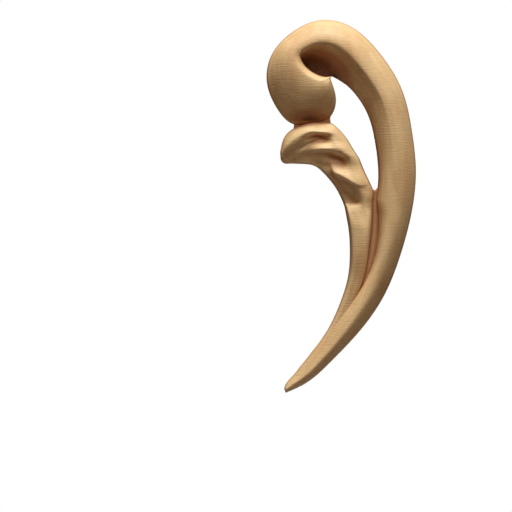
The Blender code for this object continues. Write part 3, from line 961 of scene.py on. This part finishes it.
def stretched(tree, place, across, depth, along):
    """The place with each direction scaled by its own number, one over a length in millimetres."""
    scales = wired(tree, "ShaderNodeCombineXYZ", {"X": across, "Y": depth, "Z": along})[0]
    return wired(tree, "ShaderNodeVectorMath", {0: place, 1: scales}, operation="MULTIPLY")[0]


# %% Noise, steps and tints
def noise(tree, place, detail=2.0, roughness=0.5, seed=0.0):
    settings = {"Vector": place, "W": seed, "Scale": 1.0, "Detail": detail, "Roughness": roughness}
    return wired(tree, "ShaderNodeTexNoise", settings, noise_dimensions="4D")["Fac"]


def between(tree, value, low, high, start=0.0, end=1.0):
    """The value carried smoothly from low and high to start and end."""
    limits = {"Value": value, "From Min": low, "From Max": high, "To Min": start, "To Max": end}
    return wired(tree, "ShaderNodeMapRange", limits, interpolation_type="SMOOTHSTEP")[0]


def tinted(tree, share, base, tint):
    """Colour between the base and the tint."""
    mix = tree.nodes.new("ShaderNodeMix")
    mix.data_type = "RGBA"
    for socket, value in zip((mix.inputs[0], mix.inputs[6], mix.inputs[7]), (share, base, tint)):
        if isinstance(value, bpy.types.NodeSocket):
            tree.links.new(value, socket)
        else:
            socket.default_value = (*value, 1) if isinstance(value, tuple) else value
    return mix.outputs[2]


# %% Beech group
BEECH_SIZES = {
    "Layer Thickness": 1.1,
    "Wave": 0.9,
    "Fibre Width": 0.35,
    "Fibre Length": 14.0,
    "Fleck Length": 2.4,
}

# The waves' and the patches' scales are one over a length in millimetres
LAYER_WAVES = (1 / 22, 1 / 9, 1 / 70)
WAVE_LAYERS = 6.0
LAYER_EDGE = 2.5
FLECK_FINENESS = 1.9
TONE_PATCHES = (1 / 11, 1 / 11, 1 / 26)


def beech_group():
    group, given, out = group_of("beech", BEECH_SIZES, ("Layers", "Fibres", "Flecks", "Tone"))
    place = given["Place"]
    depth = axis_of(group, place, "Y")
    waves = noise(group, stretched(group, place, *LAYER_WAVES), seed=3.1)
    waves = product(group, maths(group, "SUBTRACT", waves, 0.5), given["Wave"])
    turns = maths(group, "DIVIDE", depth, given["Layer Thickness"])
    turns = maths(group, "ADD", turns, product(group, waves, WAVE_LAYERS))
    ring = maths(group, "FRACT", turns)
    group.links.new(maths(group, "POWER", ring, LAYER_EDGE), out["Layers"])
    width = maths(group, "DIVIDE", 1.0, given["Fibre Width"])
    length = maths(group, "DIVIDE", 1.0, given["Fibre Length"])
    fibres = noise(group, stretched(group, place, width, width, length), 3.0, 0.6, 7.7)
    group.links.new(between(group, fibres, 0.32, 0.68), out["Fibres"])
    length = maths(group, "DIVIDE", 1.0, given["Fleck Length"])
    flecks = stretched(group, place, FLECK_FINENESS, FLECK_FINENESS, length)
    flecks = noise(group, flecks, 1.0, 0.4, 12.4)
    group.links.new(between(group, flecks, 0.70, 0.80), out["Flecks"])
    tone = noise(group, stretched(group, place, *TONE_PATCHES), 4.0, 0.62, 21.9)
    group.links.new(between(group, tone, 0.3, 0.7), out["Tone"])
    return group


beech = beech_group()
print("beech group gives", outputs_of(beech))

# %% [markdown]
# # Marks of the cutter
#
# The face was roughed out by a small round cutter that went to and fro, level with the ground,
# whatever way the arm runs. It left fine level scallops that sanding didn't quite take away. They
# repeat over the whole face, so Geometry Nodes cut the deeper ones into the mesh: each point sinks
# by up to two hundredths of a millimetre toward the back, by a scallop of its height, less where
# the sanding was stronger and not at all on the edges and the back. The same tree ends by giving
# the carved face and the planed back their materials.

# %% Materials to be set
carved_beech = blank("carved_beech")
planed_beech = blank("planed_beech")
print("materials to be set:", carved_beech.name, "and", planed_beech.name)

# %% Tree of cutter marks
MARK_SOCKETS = (
    ("Geometry", "Geometry"), ("Pitch", "Float"), ("Depth", "Float"), ("Wander", "Float"),
    ("Patch Size", "Float"), ("Seed", "Int"), ("Carved", "Material"), ("Planed", "Material"),
)


def cutter_tree():
    tree = bpy.data.node_groups.new("cutter marks", "GeometryNodeTree")
    for name, kind in MARK_SOCKETS:
        socket_on(tree, name, "INPUT", kind)
    socket_on(tree, "Geometry", "OUTPUT", "Geometry")
    given = tree.nodes.new("NodeGroupInput").outputs
    place = wired(tree, "GeometryNodeInputPosition")[0]
    outward = axis_of(tree, wired(tree, "GeometryNodeInputNormal")[0], "Y")

    fineness = maths(tree, "DIVIDE", 1.0, given["Patch Size"])
    patches = {"Vector": place, "W": given["Seed"], "Scale": fineness, "Detail": 1.0}
    patches = wired(tree, "ShaderNodeTexNoise", patches, noise_dimensions="4D")["Fac"]
    turns = maths(tree, "DIVIDE", axis_of(tree, place, "Z"), given["Pitch"])
    turns = maths(tree, "MULTIPLY_ADD", patches, given["Wander"], turns)
    facing = between(tree, outward, -0.15, -0.6)
    sanded = between(tree, patches, 0.62, 0.38, 0.25, 1.0)
    depth = product(tree, scallops(tree, turns), facing)
    depth = product(tree, depth, product(tree, sanded, given["Depth"]))
    sunk = wired(tree, "ShaderNodeCombineXYZ", {"Y": depth})[0]
    cut = wired(tree, "GeometryNodeSetPosition", {"Geometry": given["Geometry"], "Offset": sunk})[0]

    whole = wired(tree, "GeometryNodeRealizeInstances", {0: cut})[0]
    face = wired(tree, "GeometryNodeSetMaterial", {"Geometry": whole, "Material": given["Carved"]})[0]
    behind = wired(tree, "FunctionNodeCompare", {0: outward, 1: 0.9}, operation="GREATER_THAN")[0]
    backed = {"Geometry": face, "Selection": behind, "Material": given["Planed"]}
    backed = wired(tree, "GeometryNodeSetMaterial", backed)[0]
    tree.links.new(backed, tree.nodes.new("NodeGroupOutput").inputs[0])
    return tree


# %% Cutting the marks
SHARP_ANGLE = 40
MARKS = {
    "Pitch": 1.5 * MM,
    "Depth": 0.022 * MM,
    "Wander": 0.8,
    "Patch Size": 25.0 * MM,
    "Seed": 5,
    "Carved": carved_beech,
    "Planed": planed_beech,
}


def cut_marks(piece):
    marks = piece.modifiers.new("cutter marks", "NODES")
    marks.node_group = cutter_tree()
    for socket in marks.node_group.interface.items_tree:
        if socket.in_out == "INPUT" and socket.name in MARKS:
            marks[socket.identifier] = MARKS[socket.name]


onlay.data.shade_smooth()
cut_marks(onlay)
settle(onlay)
onlay.data.set_sharp_from_angle(angle=np.radians(SHARP_ANGLE))
print("carved face and back:", [material.name for material in onlay.data.materials])

# %% [markdown]
# # Finish of the carved face
#
# The face is bare, sanded beech: light tan with paler worn crests, and painted shade that makes the
# hollows redder and darker. The rest of the cutter's lines are too fine for the mesh, so they are bump
# in the material, and they also carry a little dust, which is why they show as thin darker lines. On
# the slopes round the outline the growth layers show instead.

# %% Fine lines group
LINE_SIZES = {"Pitch": 1.3, "Run": 16.0, "Unevenness": 1.1}
WANDER_LINES = 4.0
STREAK_RELIEF = 0.9
LINE_RELIEF = 0.5


def fine_lines_group():
    """Fine level lines left by the cutter: their relief and the dust in them."""
    group, given, out = group_of("fine lines", LINE_SIZES, ("Relief", "Dust"))
    place = given["Place"]
    run = maths(group, "DIVIDE", 1.0, given["Run"])
    wander = noise(group, stretched(group, place, run, run, 0.25), 1.0, 0.5, 1.3)
    turns = maths(group, "DIVIDE", axis_of(group, place, "Z"), given["Pitch"])
    unevenness = product(group, given["Unevenness"], WANDER_LINES)
    lines = scallops(group, maths(group, "MULTIPLY_ADD", wander, unevenness, turns))
    streaks = stretched(group, place, product(group, run, 3.0), 0.2, 1.8)
    streaks = noise(group, streaks, 2.0, 0.6, 9.2)
    relief = maths(group, "MULTIPLY_ADD", streaks, STREAK_RELIEF, product(group, lines, LINE_RELIEF))
    group.links.new(relief, out["Relief"])
    dust = product(group, between(group, lines, 0.45, 0.0), between(group, streaks, 0.35, 0.65))
    group.links.new(dust, out["Dust"])
    return group


fine_lines = fine_lines_group()
print("fine lines group gives", outputs_of(fine_lines))

# %% Parts that both finishes share
BARE_WOOD_GLOSS = 0.35


def washed(tree, colour, washes):
    """The colour with each wash laid over it, given as its share and its tint."""
    for share, tint in washes:
        colour = tinted(tree, share, colour, tint)
    return colour


def in_millimetres(tree):
    place = wired(tree, "ShaderNodeTexCoord")["Object"]
    return wired(tree, "ShaderNodeVectorMath", {0: place, "Scale": 1 / MM}, operation="SCALE")[0]


def placed(tree, group, place, **sizes):
    node = tree.nodes.new("ShaderNodeGroup")
    node.node_tree = group
    tree.links.new(place, node.inputs["Place"])
    for name, value in sizes.items():
        node.inputs[name.replace("_", " ")].default_value = value
    return node.outputs


def finished(tree, colour, roughness, relief, depth):
    """Joins the finish to the material's own shader, with the relief as bump."""
    surface = tree.nodes["Principled BSDF"]
    bump = wired(tree, "ShaderNodeBump", {"Height": relief, "Strength": 1.0, "Distance": depth * MM})[0]
    tree.links.new(colour, surface.inputs["Base Color"])
    tree.links.new(roughness, surface.inputs["Roughness"])
    tree.links.new(bump, surface.inputs["Normal"])
    surface.inputs["Specular IOR Level"].default_value = BARE_WOOD_GLOSS


# %% Carved face
PALE_WOOD = (0.685, 0.435, 0.200)
TAN_WOOD = (0.555, 0.318, 0.132)
RED_PATCH = (0.60, 0.30, 0.118)
LAYER_LINE = (0.42, 0.225, 0.09)
FIBRE = (0.46, 0.25, 0.10)
FLECK = (0.30, 0.14, 0.05)
DUST = (0.34, 0.18, 0.075)
WORN_CREST = (0.74, 0.51, 0.26)
# Painted shade: the colours of the shaded hollows and of the darkest hollows
HOLLOW_SHADE = (0.38, 0.145, 0.055)
DEEPEST_HOLLOW_SHADE = (0.12, 0.042, 0.017)

SANDED_ROUGHNESS = 0.56
FINE_RELIEF = 0.06


def carved_finish(tree):
    place = in_millimetres(tree)
    wood = placed(tree, beech, place, Layer_Thickness=2.6, Wave=0.6)
    lines = placed(tree, fine_lines, place)
    hollow = wired(tree, "ShaderNodeAttribute", attribute_name="hollow")["Fac"]
    crest = wired(tree, "ShaderNodeAttribute", attribute_name="crest")["Fac"]
    outward = axis_of(tree, wired(tree, "ShaderNodeNewGeometry")["Normal"], "Y")
    sloping = between(tree, outward, -0.75, -0.35)

    colour = washed(tree, PALE_WOOD, (
        (wood["Tone"], TAN_WOOD),
        (between(tree, wood["Tone"], 0.5, 1.0, 0.0, 0.5), RED_PATCH),
        (product(tree, wood["Layers"], between(tree, sloping, 0, 1, 0.3, 1.0)), LAYER_LINE),
        (product(tree, wood["Fibres"], 0.12), FIBRE),
        (product(tree, wood["Flecks"], 0.25), FLECK),
        (product(tree, lines["Dust"], between(tree, sloping, 0, 1, 0.42, 0.08)), DUST),
        (product(tree, crest, 0.35), WORN_CREST),
        # Painted shade, darker and redder in the deeper hollows
        (between(tree, hollow, 0.0, 0.5, 0.0, 0.85), HOLLOW_SHADE),
        (between(tree, hollow, 0.5, 1.0, 0.0, 0.9), DEEPEST_HOLLOW_SHADE),
    ))

    rough = maths(tree, "MULTIPLY_ADD", wood["Fibres"], 0.12, SANDED_ROUGHNESS)
    rough = maths(tree, "MULTIPLY_ADD", hollow, 0.15, rough)
    rough = maths(tree, "MULTIPLY_ADD", crest, -0.08, rough)
    relief = product(tree, lines["Relief"], between(tree, sloping, 0, 1, 1.0, 0.2))
    relief = maths(tree, "MULTIPLY_ADD", wood["Fibres"], 0.35, relief)
    finished(tree, colour, rough, relief, FINE_RELIEF)


carved_finish(carved_beech.node_tree)
print("the carved finish has", len(carved_beech.node_tree.nodes), "nodes")

# %% [markdown]
# # Finish of the planed back
#
# The back goes against the panel. It is sawn off and planed: the same wood, lying flat, with long
# grain, the faint ripples of the planer across it and no wear.

# %% Planed back
CLEAN_WOOD = (0.60, 0.40, 0.20)
CLEAN_TAN = (0.53, 0.34, 0.16)
CLEAN_LAYER = (0.43, 0.25, 0.11)
CLEAN_FIBRE = (0.44, 0.26, 0.12)
CLEAN_FLECK = (0.30, 0.16, 0.07)

PLANED_ROUGHNESS = 0.62
RIPPLE_PITCH = 2.2
RIPPLE_RELIEF = 0.02


def planed_finish(tree):
    place = in_millimetres(tree)
    wood = placed(tree, beech, place, Layer_Thickness=1.6, Wave=1.6, Fibre_Width=0.45, Fibre_Length=30.0)
    ripple = maths(tree, "SINE", product(tree, axis_of(tree, place, "Z"), 2 * np.pi / RIPPLE_PITCH))
    colour = washed(tree, CLEAN_WOOD, (
        (wood["Tone"], CLEAN_TAN),
        (product(tree, wood["Layers"], 0.3), CLEAN_LAYER),
        (product(tree, wood["Fibres"], 0.25), CLEAN_FIBRE),
        (product(tree, wood["Flecks"], 0.4), CLEAN_FLECK),
    ))
    rough = maths(tree, "MULTIPLY_ADD", wood["Fibres"], 0.1, PLANED_ROUGHNESS)
    relief = maths(tree, "MULTIPLY_ADD", ripple, 0.25, wood["Fibres"])
    finished(tree, colour, rough, relief, RIPPLE_RELIEF)


planed_finish(planed_beech.node_tree)
print("materials:", [material.name for material in onlay.data.materials])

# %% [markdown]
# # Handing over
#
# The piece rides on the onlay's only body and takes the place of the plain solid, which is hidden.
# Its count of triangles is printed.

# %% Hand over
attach(onlay, "root")
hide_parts(CAD_NODE)
bpy.context.view_layer.update()
triangles = sum(len(face.vertices) - 2 for face in onlay.data.polygons)
print("carved onlay:", triangles, "triangles")
